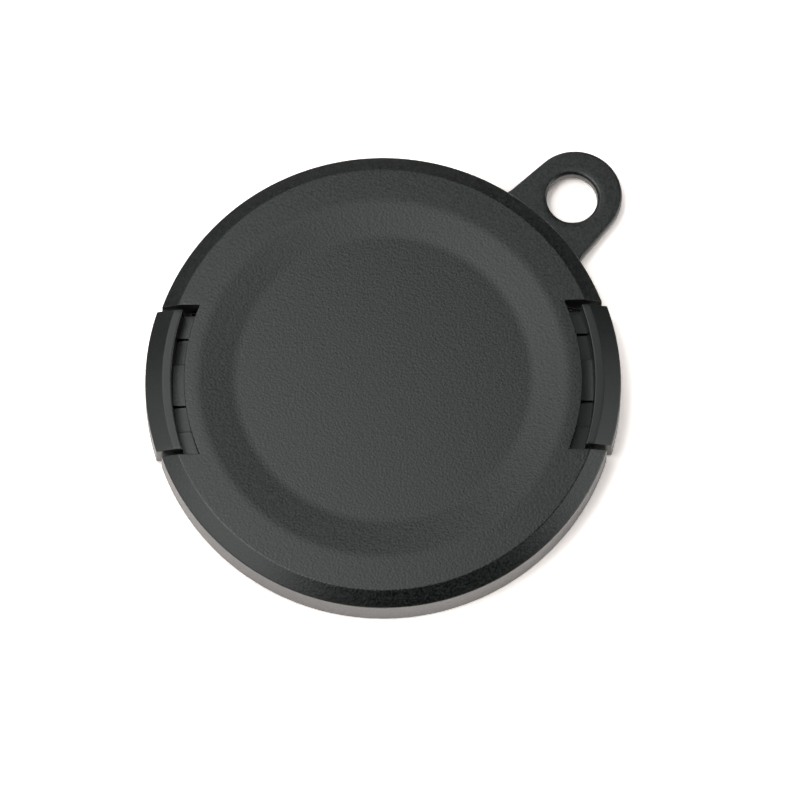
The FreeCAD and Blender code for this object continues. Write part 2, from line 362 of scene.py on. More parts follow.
def tab_outline():
    """The tab along X: half of it worked out, the other half mirrored."""
    across = Vector((math.sin(tab_flare), math.cos(tab_flare)))
    inwards = Vector((-math.cos(tab_flare), math.sin(tab_flare)))
    root_reach = rim_r - root_depth
    side_end = tab_end_at + across * tab_end_r
    from_axis = side_end + across * tab_root_r
    along = from_axis.dot(inwards)
    gap = along ** 2 - from_axis.length_squared + (root_reach + tab_root_r) ** 2
    run = -along - math.sqrt(gap)
    root_centre = from_axis + inwards * run
    root_start = math.atan2(-across.y, -across.x)
    root_end = math.atan2(-root_centre.y, -root_centre.x)
    inner = root_centre.normalized() * (root_reach - root_overlap)
    half = arc(tab_end_at, tab_end_r, 0, math.pi / 2 - tab_flare, end_points)
    half += [side_end + inwards * run * i / side_points for i in range(side_points)]
    half += arc(root_centre, tab_root_r, root_start, root_end, root_points)
    half += arc(Vector((0, 0)), inner.length, math.atan2(inner.y, inner.x), 0, inner_points)
    other = [Vector((p.x, -p.y)) for p in reversed(half[1:])]
    return half + [Vector((inner.length, 0))] + other


tab_points = tab_outline()
print("Points in the tab's outline:", len(tab_points))

# %% [markdown]
# Some pieces are easier to make in parts, or along X, and are then joined or turned to their place. Turning
# the mesh and not the object keeps every finished object unturned at the origin.

# %% Joining and turning
def join(name, pieces):
    nothing_selected()
    for piece in pieces:
        piece.select_set(True)
    bpy.context.view_layer.objects.active = pieces[0]
    bpy.ops.object.join()
    pieces[0].name = name
    pieces[0].data.name = name
    return pieces[0]


def turned(piece, degrees):
    piece.data.transform(Matrix.Rotation(math.radians(degrees), 4, "Z"))
    return piece


def half_turned(name, piece):
    """A copy with its own mesh, turned half round about the cap's axis."""
    copy = piece.copy()
    copy.data = piece.data.copy()
    copy.name = name
    copy.data.name = name
    copy.data.transform(Matrix.Rotation(math.pi, 4, "Z"))
    bpy.context.scene.collection.objects.link(copy)
    return copy


print("Helpers for joining and turning ready")

# %% [markdown]
# The tab is filled, extruded to its thickness and bevelled while its flats are still whole. Then the flats
# are opened, the hole's wall is spun with wide roundings, and the flats are filled round it. A boolean would
# cut the hole sooner, but it would leave an edge that is hard to round.

# %% Model the lanyard tab
tab_angle = 45.0
tab_low_z = 1.0
tab_high_z = 3.2
tab_edge = 0.5
tab_edge_segments = 5
hole_r = 4.15
hole_flat = 1.4
hole_rim_r = hole_r + hole_flat
hole_top_edge = 0.6
hole_low_edge = 0.25
hole_arc_steps = 6
hole_steps = 96


def on_tab_flat(point):
    return min(abs(point.z - tab_low_z), abs(point.z - tab_high_z)) < NEAR


outline = [(*point, tab_low_z) for point in tab_points]
tab = draw_line("lanyard_tab", outline + outline[:1])
merge_and_face_outwards(tab)
pick(tab, "EDGE", lambda p: True)
bpy.ops.mesh.edge_face_add()
bpy.ops.mesh.extrude_region_move(TRANSFORM_OT_translate={"value": (0, 0, (tab_high_z - tab_low_z) * mm)})
merge_and_face_outwards(tab)
for tab_z in (tab_low_z, tab_high_z):
    pick(tab, "EDGE", lambda p: abs(p.z - tab_z) < NEAR)
    bpy.ops.mesh.bevel(offset=tab_edge * mm, segments=tab_edge_segments, clamp_overlap=False)
pick(tab, "FACE", on_tab_flat)
bpy.ops.mesh.delete(type="ONLY_FACE")
hole_section = rounded([
    (hole_rim_r, tab_high_z, 0),
    (hole_r, tab_high_z, hole_top_edge),
    (hole_r, tab_low_z, hole_low_edge),
    (hole_rim_r, tab_low_z, 0),
], hole_arc_steps)
hole_wall = spun("hole_wall", hole_section, hole_at.x, steps=hole_steps)
merge_and_face_outwards(hole_wall)
tab = join("lanyard_tab", [tab, hole_wall])
for tab_z in (tab_low_z, tab_high_z):
    pick_open_edges(tab, lambda p: abs(p.z - tab_z) < NEAR)
    bpy.ops.mesh.fill(use_beauty=True)
merge_and_face_outwards(tab)
turned(tab, tab_angle)
print("Tab faces:", len(tab.data.polygons))

# %% [markdown]
# Under the face the moulding carries its working parts: ribs that the port's front edge seats on, walls that
# guide each clip's sliding plate, posts for the springs, and stakes whose melted heads hold the keeper
# plates. All are small blocks and round pegs with softened edges, so one function makes each kind.

# %% Blocks and pegs
small_edge = 0.12
peg_steps = 32


def block(name, low, high, edge=small_edge):
    """A cube set to its size and place between two corners in mm, with rounded edges."""
    nothing_selected()
    bpy.ops.mesh.primitive_cube_add(size=mm)
    piece = bpy.context.object
    piece.name = name
    bpy.ops.object.mode_set(mode="EDIT")
    bpy.ops.mesh.select_all(action="SELECT")
    bpy.ops.transform.resize(value=[b - a for a, b in zip(low, high)])
    bpy.ops.transform.translate(value=[(a + b) / 2 * mm for a, b in zip(low, high)])
    bpy.ops.mesh.bevel(offset=edge * mm, segments=2)
    leave_edit_mode()
    return piece


def peg(name, section, x, y):
    """A round peg: its section spun about its own axis, then moved to its place."""
    piece = spun(name, section, steps=peg_steps)
    merge_and_face_outwards(piece)
    only(piece)
    bpy.ops.object.mode_set(mode="EDIT")
    bpy.ops.mesh.select_all(action="SELECT")
    bpy.ops.transform.translate(value=(x * mm, y * mm, 0))
    leave_edit_mode()
    return piece


print("Blocks and pegs ready")

# %% [markdown]
# Short ribs stand in a circle between the inner ring and the skirt. They leave the clips free, and a cheek
# closes the space at each end of a notch. An Array modifier could repeat the rib, but a loop can leave out
# the ones that would be in a clip's way. Each block bites a little into the shell, so no gap shows.

# %% Seat ribs and the cheeks beside the notches
bite = 0.3
rib_width = 1.0
rib_low_z = 2.85
rib_count = 24
rib_clear_angle = 27.0
cheek_wall = 1.2
cheek_inset = 0.02
works = []
for i in range(rib_count):
    rib_angle = (i + 0.5) * 360 / rib_count
    if min(rib_angle % 180, 180 - rib_angle % 180) > rib_clear_angle:
        low = (ring_r - bite, -rib_width / 2, rib_low_z)
        high = (skirt_inner_r + bite, rib_width / 2, under_z + bite)
        works.append(turned(block("seat_rib", low, high), rib_angle))
cheek_x = [math.sqrt(r ** 2 - (notch_y + cheek_wall / 2) ** 2) for r in (ring_r, skirt_inner_r)]
for side_x in (-1, 1):
    for side_y in (-1, 1):
        ends_x = sorted(side_x * x for x in cheek_x)
        ends_y = sorted(side_y * (notch_y + inset) for inset in (cheek_inset, cheek_wall))
        low = (ends_x[0] - bite, ends_y[0], rib_low_z)
        works.append(block("cheek", low, (ends_x[1] + bite, ends_y[1], under_z + bite)))
print("Ribs and cheeks:", len(works))

# %% [markdown]
# Behind each clip there is a bay for its sliding plate. The bay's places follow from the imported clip, keeper
# and spring, so the clip that is modelled later fits between the same walls.

# %% Sizes of the clip bays
keeper_low, keeper_high = (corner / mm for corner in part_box("right_keeper"))
spring_low, spring_high = (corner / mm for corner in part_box("right_rear_spring"))
plate_thickness = 1.5
plate_top_z = 4.35
plate_low_z = plate_top_z - plate_thickness
bay_end_gap = 2.0
bay_end_x = clip_low.x - bay_end_gap
bay_wall = 1.2
clip_end_gap = 0.7
clip_end = notch_y - clip_end_gap
guide_gap = 0.2
guide_y = clip_end + guide_gap
outer_y = guide_y + bay_wall
channel_y = 5.63
channel_half = 2.15
post_from, post_to = 1.7, 3.3  # along X from the clip's inner end
boss_from, boss_to = 6.0, 7.3  # along X from the post
post_x = (clip_low.x + post_from, clip_low.x + post_to)
boss_x = (post_x[1] + boss_from, post_x[1] + boss_to)
spring_z = (keeper_high.z + under_z) / 2
spring_r = 1.3
print("A spring's space in mm:", round(boss_x[0] - post_x[1], 2))

# %% [markdown]
# A bay has an end wall, two guide walls, three ribs that the plate runs under, two posts with pegs for the
# springs, and two stakes on bosses. Only the right-hand bay is modelled. The left-hand one is a copy turned
# half round, not mirrored, because the two clips are the same moulding turned round.

# %% Clip bays, spring posts and stakes
roof = under_z + bite
peg_half = 0.5
peg_length = 1.1
run_rib_y = 9.74
run_rib_half = 0.6
run_rib_gap = 0.15
run_rib_inset = 1.7
stake_r = 1.0
stake_head_r = 1.5
stake_crown_r = 1.3
stake_head_height = 0.5
stake_crown_round = 0.35
stake_brim_round = 0.05
stake_boss_r = 1.9
stake_boss_edge = 0.15
stake_from_end = 4.4
stake_from_wall = 1.15
stake = Vector((bay_end_x + stake_from_end, guide_y + bay_wall + stake_from_wall))
stake_head = rounded([
    (0, keeper_low.z - stake_head_height, 0),
    (stake_crown_r, keeper_low.z - stake_head_height, stake_crown_round),
    (stake_head_r, keeper_low.z, stake_brim_round),
    (stake_r, keeper_low.z, 0),
])
stake_section = stake_head + [(stake_r, keeper_high.z + bite), (0, keeper_high.z + bite)]
stake_boss = rounded([
    (0, keeper_high.z, 0),
    (stake_boss_r, keeper_high.z, stake_boss_edge),
    (stake_boss_r, roof, 0),
    (0, roof, 0),
])


def ends_about(middle, half):
    return (middle - half, middle + half)


def bay_block(x, y, z):
    """A block from its two ends along each axis, in either order."""
    return block("bay_wall", *zip(*(sorted(pair) for pair in (x, y, z))))


def bay_side(side):
    """What stands on one side of the bay's middle."""
    y = side * channel_y
    wall_end_x = math.sqrt(ring_inner_r ** 2 - guide_y ** 2)
    peg_x = (post_x[1] - bite, post_x[1] + peg_length)
    return [
        bay_block((bay_end_x - bite, wall_end_x), (side * guide_y, side * outer_y), (keeper_high.z, roof)),
        bay_block(post_x, ends_about(y, spring_r), (plate_low_z, roof)),
        bay_block(peg_x, ends_about(y, peg_half), ends_about(spring_z, peg_half)),
        peg("stake_boss", stake_boss, stake.x, side * stake.y),
        peg("stake", stake_section, stake.x, side * stake.y),
    ]


end_wall_x = (bay_end_x - bay_wall, bay_end_x)
bay = [bay_block(end_wall_x, (-outer_y, outer_y), (keeper_high.z, roof))]
for side in (-1, 1):
    bay += bay_side(side)
for y in (-run_rib_y, 0, run_rib_y):
    rib_x = (bay_end_x - bite, ring_inner_r - run_rib_inset)
    bay.append(bay_block(rib_x, ends_about(y, run_rib_half), (plate_top_z + run_rib_gap, roof)))
works += bay + [half_turned(piece.name, piece) for piece in bay]
print("Pieces under the face:", len(works))

# %% [markdown]
# The shell, the tab and all that stands under the face are one moulding on the real cap, so they are joined
# into one piece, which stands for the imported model's plain body. A boolean union would weld them, but it
# leaves thin slivers that spoil the shading, and where the blocks bite into the shell nothing is seen. Plain
# smooth shading would bend the light across the flats, so it is limited by angle, and the Weighted Normal
# modifier lets large faces decide.

# %% Join the cap's moulding
def apply_modifier(piece, kind, **settings):
    only(piece)
    modifier = piece.modifiers.new(kind.lower(), kind)
    for name, value in settings.items():
        setattr(modifier, name, value)
    bpy.ops.object.modifier_apply(modifier=modifier.name)


def smooth(piece, angle=38.0):
    """Smooth shading that leaves the flats flat."""
    only(piece)
    bpy.ops.object.shade_smooth_by_angle(angle=math.radians(angle))
    apply_modifier(piece, "WEIGHTED_NORMAL", keep_sharp=True, weight=80)


cap_moulding = join("cap_moulding", [shell, tab] + works)
smooth(cap_moulding)
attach(cap_moulding, "cap")
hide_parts("cap_body")
print("Cap moulding faces:", len(cap_moulding.data.polygons))

# %% [markdown]
# A clip's lip and its blade both end in flat faces with slightly rounded edges. Each is spun a little too
# long and cut off straight. An end face that is inset and raised in two steps gives the rounding, where a
# bevel would run into the small arcs of the section.

# %% Straight ends
end_steps = ((0.3, 0.7), (0.7, 0.3))  # shares of the rounding, inwards and outwards


def trim_ends(piece, half_length):
    """Cuts a piece off straight at both ends."""
    for side in (-1, 1):
        pick(piece, "FACE", lambda p: True)
        cut_across("y", side * half_length, side, clear_outer=True)
    leave_edit_mode()


def fill_ends(piece, half_length, edge):
    """Closes both trimmed ends, and rounds them by raising each end face in two narrowing steps."""
    for side in (-1, 1):
        pick_open_edges(piece, lambda p: abs(p.y - side * half_length) < NEAR)
        bpy.ops.mesh.edge_face_add()
    merge_and_face_outwards(piece)
    pick(piece, "FACE", lambda p: abs(abs(p.y) - half_length) < NEAR)
    for inwards, outwards in end_steps:
        bpy.ops.mesh.inset(thickness=inwards * edge * mm, depth=outwards * edge * mm)
    leave_edit_mode()


print("Helpers for straight ends ready")

# %% [markdown]
# A finger clip fills its notch with the same rim profile, a little further out. The lip's outer and inner
# faces are arcs about different centres, so one spin can't make both. Each is spun by itself, trimmed
# straight at the clip's ends and bridged to the other.

# %% The clip's lip and finger wall
clip_out = 0.55  # how far the clip stands out past the rim
finger_foot_z = 0.6
finger_wall = 1.75
finger_foot_r = foot_r - skirt_draft * finger_foot_z / rim_z
finger_inner_r = finger_foot_r - finger_wall
lip_inset = 2.8
lip_width = 1.5
lip_top_r = rim_r - lip_inset
lip_inner_x = lip_top_r + clip_out - lip_width
lip_centre_x = lip_inner_x - rim_r
lip_swing = 22.0
lip_steps = 44
lip_round = 0.25
lip_inner_round = 0.2
end_edge = 0.16
flat_width = 0.5
step_width = 1.0
lip_back = 0.3
flat_r = lip_top_r - flat_width  # where the bridge above begins
step_r = finger_inner_r - step_width  # where the bridge below begins
lip_back_r = rim_r + lip_back  # where both bridges end


def about(point, axis_x, reach):
    """Whether a point lies on a circle about an upright axis."""
    return abs(math.hypot(point.x - axis_x, point.y) - reach) < NEAR


outer_section = rounded([
    (flat_r, height, 0),
    (lip_top_r, height, lip_round),
    (rim_r, rim_z, rim_round),
    (finger_foot_r, finger_foot_z, foot_round),
    (finger_inner_r, finger_foot_z, foot_round),
    (finger_inner_r, plate_low_z, lip_inner_round),
    (step_r, plate_low_z, 0),
])
inner_section = rounded([
    (lip_back_r, height, 0),
    (rim_r, height, lip_inner_round),
    (rim_r, plate_low_z, lip_inner_round),
    (lip_back_r, plate_low_z, 0),
])
lip_sides = {"lip_outside": (outer_section, clip_out), "lip_inside": (inner_section, lip_centre_x)}
lip_faces = []
for name, (section, centre_x) in lip_sides.items():
    face = spun(name, section, centre_x, -lip_swing, 2 * lip_swing, lip_steps)
    merge_and_face_outwards(face)
    trim_ends(face, clip_end - end_edge)
    lip_faces.append(face)
lip = join("lip", lip_faces)
for lip_z, outer_r in ((height, flat_r), (plate_low_z, step_r)):
    pick_open_edges(lip, lambda p: abs(p.z - lip_z) < NEAR and (
        about(p, clip_out, outer_r) or about(p, lip_centre_x, lip_back_r)
    ))
    bpy.ops.mesh.bridge_edge_loops()
fill_ends(lip, clip_end - end_edge, end_edge)
print("Lip faces:", len(lip.data.polygons))

# %% [markdown]
# The sliding plate runs in under the face. It is box-modelled: a plane is bisected along the lines of its
# windows and channels, the windows are deleted, and the rest is extruded up in steps. Booleans could cut the
# channels, but extruding keeps every face whole, so the edges can be softened evenly.

# %% The clip's sliding plate
plate_inset = 0.02
plate_end_y = clip_end - plate_inset
plate_set_back = 0.8
plate_outer_r = face_r - plate_set_back
plate_span = (clip_low.x, lip_inner_x)
window_gap = 0.3
window_half = spring_r + window_gap
post_gap = 0.1
window_x = post_x[0] - post_gap
channel_depth = 0.9
channel_z = plate_top_z - channel_depth
boss_gap = 0.25
boss_top_z = under_z - boss_gap


def in_channel(point, half=channel_half):
    return abs(abs(point.y) - channel_y) < half + NEAR


def lines_beside_channels(half):
    return [side * channel_y + way * half for side in (-1, 1) for way in (-1, 1)]


def raise_faces(piece, from_z, to_z, wanted):
    pick(piece, "FACE", lambda p: abs(p.z - from_z) < NEAR and wanted(p))
    bpy.ops.mesh.extrude_region_move(TRANSFORM_OT_translate={"value": (0, 0, (to_z - from_z) * mm)})
    leave_edit_mode()


def cut_lines(piece, axis, places, wanted=lambda p: True):
    for place in places:
        pick(piece, "FACE", wanted)
        cut_across(axis, place)
    leave_edit_mode()


nothing_selected()
bpy.ops.mesh.primitive_plane_add(size=mm)
plate = bpy.context.object
plate.name = "sliding_plate"
bpy.ops.object.mode_set(mode="EDIT")
bpy.ops.mesh.select_all(action="SELECT")
bpy.ops.transform.resize(value=(plate_span[1] - plate_span[0], 2 * plate_end_y, 1))
bpy.ops.transform.translate(value=(sum(plate_span) / 2 * mm, 0, plate_low_z * mm))
cut_lines(plate, "y", lines_beside_channels(window_half) + lines_beside_channels(channel_half) + [0])
cut_lines(plate, "x", [window_x, *boss_x])
for y in sorted({round(v.co.y / mm, 3) for v in plate.data.vertices}):
    pick(plate, "VERT", lambda p: p.x > lip_inner_x - NEAR and abs(p.y - y) < NEAR)
    reach = clip_out + math.sqrt(plate_outer_r ** 2 - y ** 2) - lip_inner_x
    bpy.ops.transform.translate(value=(reach * mm, 0, 0))
pick(plate, "FACE", lambda p: in_channel(p, window_half) and window_x - NEAR < p.x < boss_x[0] + NEAR)
bpy.ops.mesh.delete(type="FACE")
raise_faces(plate, plate_low_z, channel_z, lambda p: True)
raise_faces(plate, channel_z, plate_top_z, lambda p: p.x < boss_x[1] or not in_channel(p))
raise_faces(plate, plate_top_z, boss_top_z, lambda p: boss_x[0] < p.x < boss_x[1] and in_channel(p))
merge_and_face_outwards(plate)
print("Plate faces:", len(plate.data.polygons))

# %% [markdown]
# In the slot between the cap's face and the lip, the plate shows. It falls away a little towards the lip, and
# its middle is slightly hollow, as thick plastic sinks when it cools. The fall is a fifth of a millimetre and
# the hollow a twentieth, but they turn the reflections: the left-hand slot shines, and the right-hand one
# stays dark. A bump could fake that, but a few cuts and moves make the real slopes. Then the plate's edges
# are rounded. They could be picked and bevelled, but the Bevel modifier finds the sharp ones by their angle.

# %% The plate's slope and hollow in the slot
plate_fall = math.tan(math.radians(2.5))
hollow_depth = 0.05
hollow_cuts = 4
hollow_x = (slot_r + lip_inner_x) / 2
hollow_half = (lip_inner_x - slot_r) / 2
middle_half = channel_y - channel_half


def on_middle(point):
    return abs(point.y) < middle_half + NEAR and point.x > boss_x[1] and abs(point.z - plate_top_z) < NEAR


def soften(piece, width, segments=2, angle=30.0):
    """Rounds every edge that is sharper than the angle."""
    apply_modifier(
        piece, "BEVEL", width=width * mm, segments=segments, limit_method="ANGLE",
        angle_limit=math.radians(angle), use_clamp_overlap=True,
    )


hollow_places = [hollow_x + hollow_half * i / hollow_cuts for i in range(-hollow_cuts, hollow_cuts + 1)]
cut_lines(plate, "x", hollow_places, on_middle)
for x in hollow_places:
    pick(plate, "VERT", lambda p: on_middle(p) and abs(p.x - x) < NEAR)
    sunk = hollow_depth * (1 - ((x - hollow_x) / hollow_half) ** 2)
    bpy.ops.transform.translate(value=(0, 0, -sunk * mm))
leave_edit_mode()
for x in sorted({round(v.co.x / mm, 3) for v in plate.data.vertices}):
    if x > boss_x[1] + NEAR:
        pick(plate, "VERT", lambda p: abs(p.x - x) < NEAR / 4 and p.z > plate_low_z + NEAR)
        bpy.ops.transform.translate(value=(0, 0, -plate_fall * (x - boss_x[1]) * mm))
soften(plate, small_edge)
print("Plate faces with its hollow:", len(plate.data.polygons))

# %% [markdown]
# A short blade hangs from the plate, and its outer side has teeth of the thread's shape. The toothed section
# is closed, spun along the blade's arc and trimmed at both ends. The Screw modifier could give the teeth the
# thread's slope, but over so short an arc it is less than a tenth of a millimetre, so they are spun level.

# %% The clip's blade
blade_inset = 1.7
blade_end = clip_end - blade_inset
blade_edge = 0.05
blade_foot_z = clip_low.z
blade_top_z = plate_low_z + bite
blade_wall = 1.5
blade_inner_round = 0.2
blade_foot_round = 0.1
tooth_pitch = 0.75
tooth_count = 3
tooth_past_ring = 0.8
tooth_depth = 0.42
tooth_round = 0.06
tooth_arc_steps = 2
tooth_reach = ring_r + tooth_past_ring
tooth_root = tooth_reach - tooth_depth
blade_inner = tooth_root - blade_wall
blade_section = [
    (blade_inner, blade_top_z, 0),
    (blade_inner, blade_foot_z, blade_inner_round),
    (tooth_root, blade_foot_z, blade_foot_round),
]
for i in range(tooth_count):
    tooth_low = blade_foot_z + i * tooth_pitch
    blade_section.append((tooth_reach, tooth_low + tooth_pitch / 2, tooth_round))
    blade_section.append((tooth_root, tooth_low + tooth_pitch, tooth_round))
blade_section += [(tooth_root, blade_top_z, 0), (blade_inner, blade_top_z, 0)]
blade_points = rounded(blade_section, tooth_arc_steps)
blade = spun("blade", blade_points, clip_out, -lip_swing, 2 * lip_swing, lip_steps)
merge_and_face_outwards(blade)
trim_ends(blade, blade_end - blade_edge)
fill_ends(blade, blade_end - blade_edge, blade_edge)
print("Blade faces:", len(blade.data.polygons))

# %% [markdown]
# Two ears keep the clip from falling out of its notch, and two pegs hold its springs in place. With them the
# right-hand clip is whole, and the left-hand one is its copy, turned half round, as the real clips are two of
# one moulding.

# %% The ears, the pegs and both clips
ear_height = 0.6
ear_top_z = plate_low_z + ear_height
pegs = []
for side in (-1, 1):
    ear_y = sorted((side * (clip_end - bite), side * clip_high.y))
    pegs.append(block("ear", (ring_inner_r, ear_y[0], plate_low_z), (lip_inner_x, ear_y[1], ear_top_z)))
    low = (boss_x[0] - peg_length, side * channel_y - peg_half, spring_z - peg_half)
    high = (boss_x[0] + bite, side * channel_y + peg_half, spring_z + peg_half)
    pegs.append(block("spring_peg", low, high))
right_clip = join("right_clip_moulding", [lip, plate, blade] + pegs)
smooth(right_clip)
left_clip = half_turned("left_clip_moulding", right_clip)
for piece, body in ((left_clip, "left_clip"), (right_clip, "right_clip")):
    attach(piece, body)
    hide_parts(body)
print("Clip faces:", len(right_clip.data.polygons))

# %% [markdown]
# Each keeper is a flat plate that closes a clip's bay from below. It could be drawn again, but its packed
# solid already has the right outline and holes. So a copy is merged, its flats are joined into whole faces
# and its edges are softened.

# %% The keeper plates
flat_angle = 1.0  # degrees, faces nearer to level with each other than this are joined


def softened_copy(name, node, width):
    piece = bpy.data.objects.new(name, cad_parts[node].data.copy())
    piece.data.materials.clear()
    bpy.context.scene.collection.objects.link(piece)
    only(piece)
    bpy.ops.object.mode_set(mode="EDIT")
    bpy.ops.mesh.select_all(action="SELECT")
    bpy.ops.mesh.remove_doubles(threshold=MERGE_WITHIN * mm)
    bpy.ops.mesh.dissolve_limited(angle_limit=math.radians(flat_angle))
    leave_edit_mode()
    soften(piece, width)
    smooth(piece)
    return piece


keepers = []
for side in ("left", "right"):
    keeper = softened_copy(f"{side}_keeper_plate", f"{side}_keeper", small_edge)
    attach(keeper, "cap")
    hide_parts(f"{side}_keeper")
    keepers.append(keeper)
print("Keeper faces:", len(keepers[0].data.polygons))

# %% [markdown]
# The springs are round wire wound about the clip's line of travel. A circle of the wire's thickness is set
# beside the axis and the Screw modifier winds it, which is simpler than bevelling a curve drawn as a helix. A
# spring shortens as its clip goes in; here each is wound to the length of the imported spring.

# %% The springs
wire_r = 0.18
wire_sides = 12
spring_turns = 5
steps_per_turn = 32
wire_end_reach = 1.0  # mm from a spring's end, takes in the open end of its wire
coil_smooth_angle = 50.0
spring_length = spring_high.x - spring_low.x - 2 * wire_r


def near_start(point):
    return point.x < spring_low.x + wire_end_reach


def near_end(point):
    return point.x > spring_high.x - wire_end_reach


def coil(name, y):
    """One spring behind the right-hand clip."""
    nothing_selected()
    place = ((spring_low.x + wire_r) * mm, y * mm, spring_z * mm)
    bpy.ops.mesh.primitive_circle_add(vertices=wire_sides, radius=wire_r * mm, location=place)
    piece = bpy.context.object
    piece.name = piece.data.name = name
    bpy.ops.object.mode_set(mode="EDIT")
    bpy.ops.mesh.select_all(action="SELECT")
    bpy.ops.transform.translate(value=(0, (spring_r - wire_r) * mm, 0))
    leave_edit_mode()
    apply_modifier(
        piece, "SCREW", axis="X", angle=2 * math.pi, screw_offset=spring_length / spring_turns * mm,
        iterations=spring_turns, steps=steps_per_turn, render_steps=steps_per_turn,
    )
    only(piece)
    bpy.ops.object.transform_apply(location=True)
    for at_end in (near_start, near_end):
        pick_open_edges(piece, at_end)
        bpy.ops.mesh.edge_face_add()
    merge_and_face_outwards(piece)
    smooth(piece, coil_smooth_angle)
    return piece


springs = {}
springs["right_front_spring"] = coil("right_front_coil", -channel_y)
springs["right_rear_spring"] = coil("right_rear_coil", channel_y)
springs["left_rear_spring"] = half_turned("left_rear_coil", springs["right_front_spring"])
springs["left_front_spring"] = half_turned("left_front_coil", springs["right_rear_spring"])
for node, piece in springs.items():
    side = node.split("_")[0]
    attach(piece, "cap")
    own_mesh(piece)
    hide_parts(node)
print("Spring faces:", len(springs["right_front_spring"].data.polygons))

# %% [markdown]
# A finish is a small tree of nodes. A photograph of the grain would need the piece unwrapped and would show
# seams, so noise on Object coordinates is used. It has no seams, and its size is known in millimetres.

# %% Helpers for finishes
COLOUR_A, COLOUR_B, COLOUR_OUT = 6, 7, 2  # the Mix node's sockets when it mixes colours
noise_middle = (0.3, 0.7)  # most of a noise's values lie between these


def new_material(name):
    material = bpy.data.materials.new(name)
    material.use_nodes = True
    return material, material.node_tree


def node_in(tree, kind, **settings):
    node = tree.nodes.new(kind)
    for name, value in settings.items():
        setattr(node, name, value)
    return node


def noise(tree, per_mm, detail, rough=0.6):
    """Noise on Object coordinates with about so many grains to the millimetre."""
    place = node_in(tree, "ShaderNodeTexCoord")
    grain = node_in(tree, "ShaderNodeTexNoise")
    grain.inputs["Scale"].default_value = per_mm / mm
    grain.inputs["Detail"].default_value = detail
    grain.inputs["Roughness"].default_value = rough
    tree.links.new(place.outputs["Object"], grain.inputs["Vector"])
    return grain.outputs["Fac"]


def spread(tree, source, low, high, out_low, out_high):
    """Stretches one range of a value over another."""
    stretch = node_in(tree, "ShaderNodeMapRange", clamp=True)
    for socket, value in (("From Min", low), ("From Max", high), ("To Min", out_low), ("To Max", out_high)):
        stretch.inputs[socket].default_value = value
    tree.links.new(source, stretch.inputs["Value"])
    return stretch.outputs["Result"]


def specks(tree, speck, dark, light, gloss):
    """Lets a noise move the colour between two tones and the roughness over a range."""
    shader = tree.nodes["Principled BSDF"]
    tone = node_in(tree, "ShaderNodeMix", data_type="RGBA")
    tone.inputs[COLOUR_A].default_value = (*dark, 1)
    tone.inputs[COLOUR_B].default_value = (*light, 1)
    tree.links.new(spread(tree, speck, *noise_middle, 0, 1), tone.inputs["Factor"])
    tree.links.new(tone.outputs[COLOUR_OUT], shader.inputs["Base Color"])
    tree.links.new(spread(tree, speck, *noise_middle, *gloss), shader.inputs["Roughness"])
    return shader


print("Helpers for finishes ready")

# %% [markdown]
# The cap is moulded in a deep black plastic. The mould was spark eroded, which leaves an even, very fine
# grain, so its gloss is soft and the grain is only just seen. One noise of about 0.4 mm raises the bump, and
# a slightly finer one makes specks of tone and gloss. Real relief would need millions of faces. The clips and
# the keepers come from smoother moulds, so their grain is much weaker.

# %% The plastics
speck_fineness = 1.1  # specks to a grain


def grained_plastic(name, dark, light, gloss, grain_per_mm, grain_depth):
    """Black moulded plastic: specks of two close tones, a range of roughness and a fine grain."""
    material, tree = new_material(name)
    shader = specks(tree, noise(tree, speck_fineness * grain_per_mm, 0), dark, light, gloss)
    bump = node_in(tree, "ShaderNodeBump")
    bump.inputs["Strength"].default_value = 1.0
    bump.inputs["Distance"].default_value = grain_depth * mm
    tree.links.new(noise(tree, grain_per_mm, 0), bump.inputs["Height"])
    tree.links.new(bump.outputs["Normal"], shader.inputs["Normal"])
    return material


cap_plastic = grained_plastic(
    "cap_grained_black", (0.0002, 0.0003, 0.0003), (0.0102, 0.0126, 0.0119), (0.30, 0.37), 2.7, 0.019,
)
clip_plastic = grained_plastic(
    "clip_satin_black", (0.0025, 0.0029, 0.0028), (0.0048, 0.0053, 0.0052), (0.31, 0.36), 3.0, 0.006,
)
keeper_plastic = grained_plastic(
    "keeper_satin_black", (0.0080, 0.0090, 0.0090), (0.0110, 0.0120, 0.0120), (0.32, 0.42), 2.0, 0.006,
)
print("Plastics:", cap_plastic.name, clip_plastic.name, keeper_plastic.name)

# %% [markdown]
# Spring wire is drawn through a die, so it is bright steel with faint marks. Marks that run along the wire
# would need it unwrapped, and it hardly shows behind the keeper, so fine noise stands for them.

# %% The spring steel
marks_per_mm = 6.0
mark_detail = 3


def drawn_steel():
    material, tree = new_material("drawn_spring_steel")
    mark = noise(tree, marks_per_mm, mark_detail)
    shader = specks(tree, mark, (0.50, 0.51, 0.53), (0.60, 0.61, 0.63), (0.22, 0.38))
    shader.inputs["Metallic"].default_value = 1.0
    return material


spring_steel = drawn_steel()
finishes = [
    (cap_plastic, [cap_moulding]),
    (clip_plastic, [left_clip, right_clip]),
    (keeper_plastic, keepers),
    (spring_steel, list(springs.values())),
]
for material, pieces in finishes:
    for piece in pieces:
        piece.data.materials.clear()
        piece.data.materials.append(material)
print("Finishes given to", sum(len(pieces) for _, pieces in finishes), "pieces")

# %% [markdown]
# The cap lies on an overexposed white sweep, a round floor that turns up into a low wall. Near the cap it is
# a matt white that takes the shadow. To the camera and in reflections it is lifted: near the cap by a colour
# brighter than paper, which keeps the shadow, and further off by a plain glow of 1, which is white. The light
# that it sends to the cap stays that of paper.

